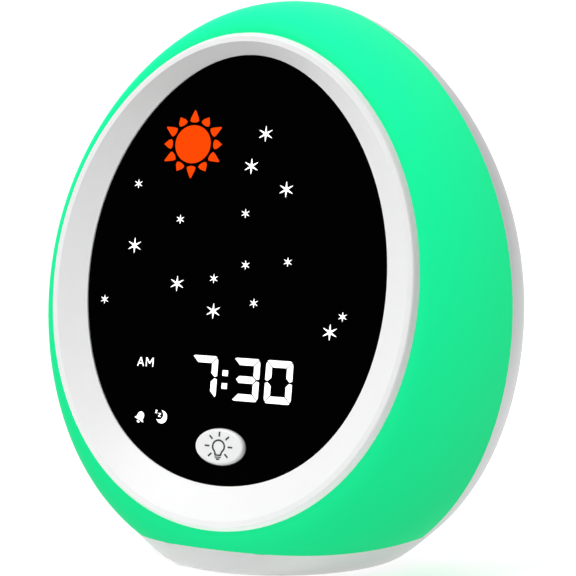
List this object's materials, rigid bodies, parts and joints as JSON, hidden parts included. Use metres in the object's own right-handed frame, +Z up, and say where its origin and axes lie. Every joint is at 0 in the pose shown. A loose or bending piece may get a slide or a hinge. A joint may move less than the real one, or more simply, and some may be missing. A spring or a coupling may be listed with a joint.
{
  "type": "alarm clock with night light",
  "caption": "Egg-shaped table alarm clock with a white front ring, black display face, glowing green shell, white rear cover and low base; pressable keys and a lift-off battery door.",
  "frame": {"origin": "centre of the bounding box in X and Y, at the height the feet stand on", "axes": "+X to the right seen from the front, +Y towards the back, +Z up; the face looks towards -Y and leans back"},
  "size_m": [0.1386, 0.0866, 0.1608],
  "materials": {
    "base_white": "satin moulded plastic",
    "foot_rubber": "matte rubber",
    "screw_steel": "zinc plated steel",
    "glow_green": "translucent mint green plastic lit from inside",
    "cover_white": "satin moulded plastic",
    "bezel_white": "satin moulded plastic",
    "lens_black": "black tinted acrylic",
    "icon_orange": "orange light guide, lit",
    "icon_white": "white light guide, lit",
    "digit_white": "white light guide, lit",
    "mask_black": "black moulded plastic",
    "pcb_green": "circuit board with green solder mask",
    "pcb_white": "circuit board with white solder mask",
    "led_white": "lamp chip",
    "switch_black": "switch housing",
    "button_white": "satin moulded plastic",
    "symbol_grey": "grey inlay",
    "key_grey": "satin moulded plastic",
    "chassis_white": "white reflecting plastic",
    "diffuser_frost": "frosted clear plastic",
    "chip_black": "electronic parts",
    "speaker_steel": "plated steel",
    "cone_black": "pressed paper cone",
    "gasket_foam": "closed cell foam",
    "battery_grey": "plain printed steel can",
    "contact_nickel": "nickel plated",
    "wire_red": "plastic covered wire",
    "ribbon_grey": "flat ribbon lead"
  },
  "bodies": {
    "housing": {"base": "base_white", "base_screws": "screw_steel", "batteries": "battery_grey", "battery_box": "cover_white", "battery_contacts": "contact_nickel", "battery_leads": "wire_red", "board_parts": "chip_black", "chassis_screws": "screw_steel", "cover_screws": "screw_steel", "display_board": "pcb_green", "display_leds": "led_white", "display_lens": "lens_black", "display_screws": "screw_steel", "front_bezel": "bezel_white", "inner_chassis": "chassis_white", "led_diffuser": "diffuser_frost", "light_button_switch": "switch_black", "light_mask": "mask_black", "main_board": "pcb_green", "main_board_screws": "screw_steel", "night_light_board": "pcb_white", "night_light_leds": "led_white", "night_light_screws": "screw_steel", "night_light_shell": "glow_green", "power_board": "pcb_green", "power_leads": "wire_red", "power_parts": "chip_black", "rear_cover": "cover_white", "ribbon_cable": "ribbon_grey", "rubber_feet": "foot_rubber", "speaker_clamp": "chassis_white", "speaker_cone": "cone_black", "speaker_frame": "speaker_steel", "speaker_gasket": "gasket_foam", "speaker_leads": "wire_red", "speaker_magnet": "speaker_steel", "speaker_screws": "screw_steel", "star_light_guides": "icon_white", "status_icons": "icon_white", "sun_light_guide": "icon_orange", "tact_switches": "switch_black", "time_digits": "digit_white", "usb_socket": "contact_nickel"},
    "light_button": {"light_button": "button_white", "light_button_symbol": "symbol_grey"},
    "battery_door": {"battery_door": "cover_white", "door_foam_pad": "gasket_foam"},
    "button_time": {"button_time": "key_grey", "button_time_sign": "symbol_grey"},
    "button_alarm": {"button_alarm": "key_grey", "button_alarm_sign": "symbol_grey"},
    "button_minus": {"button_minus": "key_grey", "button_minus_sign": "symbol_grey"},
    "button_plus": {"button_plus": "key_grey", "button_plus_sign": "symbol_grey"},
    "button_volume": {"button_volume": "key_grey", "button_volume_sign": "symbol_grey"},
    "button_nap": {"button_nap": "key_grey", "button_nap_sign": "symbol_grey"}
  },
  "joints": [
    {"name": "light_button_press", "type": "slide", "parent": "housing", "child": "light_button", "axis": [0, 0.9896, -0.144], "range_m": [0, 0.0008], "stiffness_N_per_m": 400},
    {"name": "button_time_press", "type": "slide", "parent": "housing", "child": "button_time", "axis": [0, -1, 0], "range_m": [0, 0.0006], "stiffness_N_per_m": 400},
    {"name": "button_alarm_press", "type": "slide", "parent": "housing", "child": "button_alarm", "axis": [0, -1, 0], "range_m": [0, 0.0006], "stiffness_N_per_m": 400},
    {"name": "button_minus_press", "type": "slide", "parent": "housing", "child": "button_minus", "axis": [0, -1, 0], "range_m": [0, 0.0006], "stiffness_N_per_m": 400},
    {"name": "button_plus_press", "type": "slide", "parent": "housing", "child": "button_plus", "axis": [0, -1, 0], "range_m": [0, 0.0006], "stiffness_N_per_m": 400},
    {"name": "button_volume_press", "type": "slide", "parent": "housing", "child": "button_volume", "axis": [0, -1, 0], "range_m": [0, 0.0006], "stiffness_N_per_m": 400},
    {"name": "button_nap_press", "type": "slide", "parent": "housing", "child": "button_nap", "axis": [0, -1, 0], "range_m": [0, 0.0006], "stiffness_N_per_m": 400},
    {"name": "battery_door_lift", "type": "slide", "parent": "housing", "child": "battery_door", "axis": [0, 1, 0], "range_m": [0, 0.03]}
  ]
}
